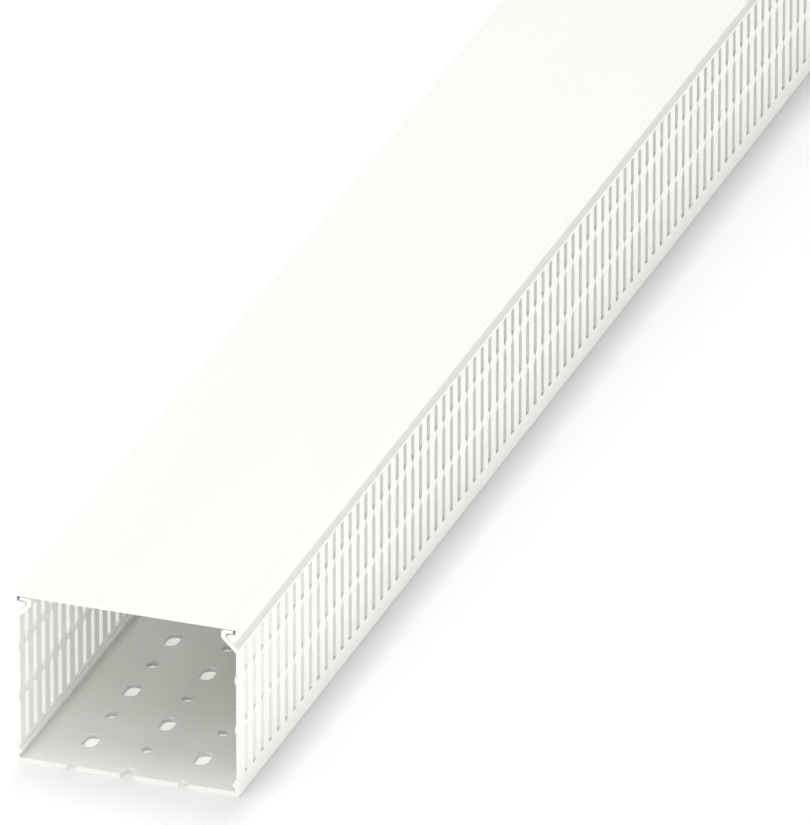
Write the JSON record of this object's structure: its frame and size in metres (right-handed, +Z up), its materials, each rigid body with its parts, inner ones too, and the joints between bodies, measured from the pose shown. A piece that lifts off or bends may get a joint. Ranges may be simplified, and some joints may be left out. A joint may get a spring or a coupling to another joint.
{
  "type": "slotted wiring duct",
  "caption": "Rigid PVC slotted wiring duct with snap-off fingers along both side walls, a punched mounting base and a clip-on cover that also slides off along the duct.",
  "frame": {"origin": "middle of the mounting face, on the duct's middle plane and halfway along it", "axes": "+Y along the duct, +Z up from the mounting face to the cover, +X across the duct"},
  "size_m": [0.1, 1, 0.08],
  "materials": {
    "duct_pvc": "satin extruded rigid PVC, near white",
    "cover_pvc": "satin extruded rigid PVC, near white"
  },
  "bodies": {
    "duct": {"duct": "duct_pvc"},
    "cover": {"cover": "cover_pvc"}
  },
  "joints": [
    {"name": "cover_slide", "type": "slide", "parent": "duct", "child": "cover", "axis": [0, 1, 0], "range_m": [0, 1.02]}
  ]
}
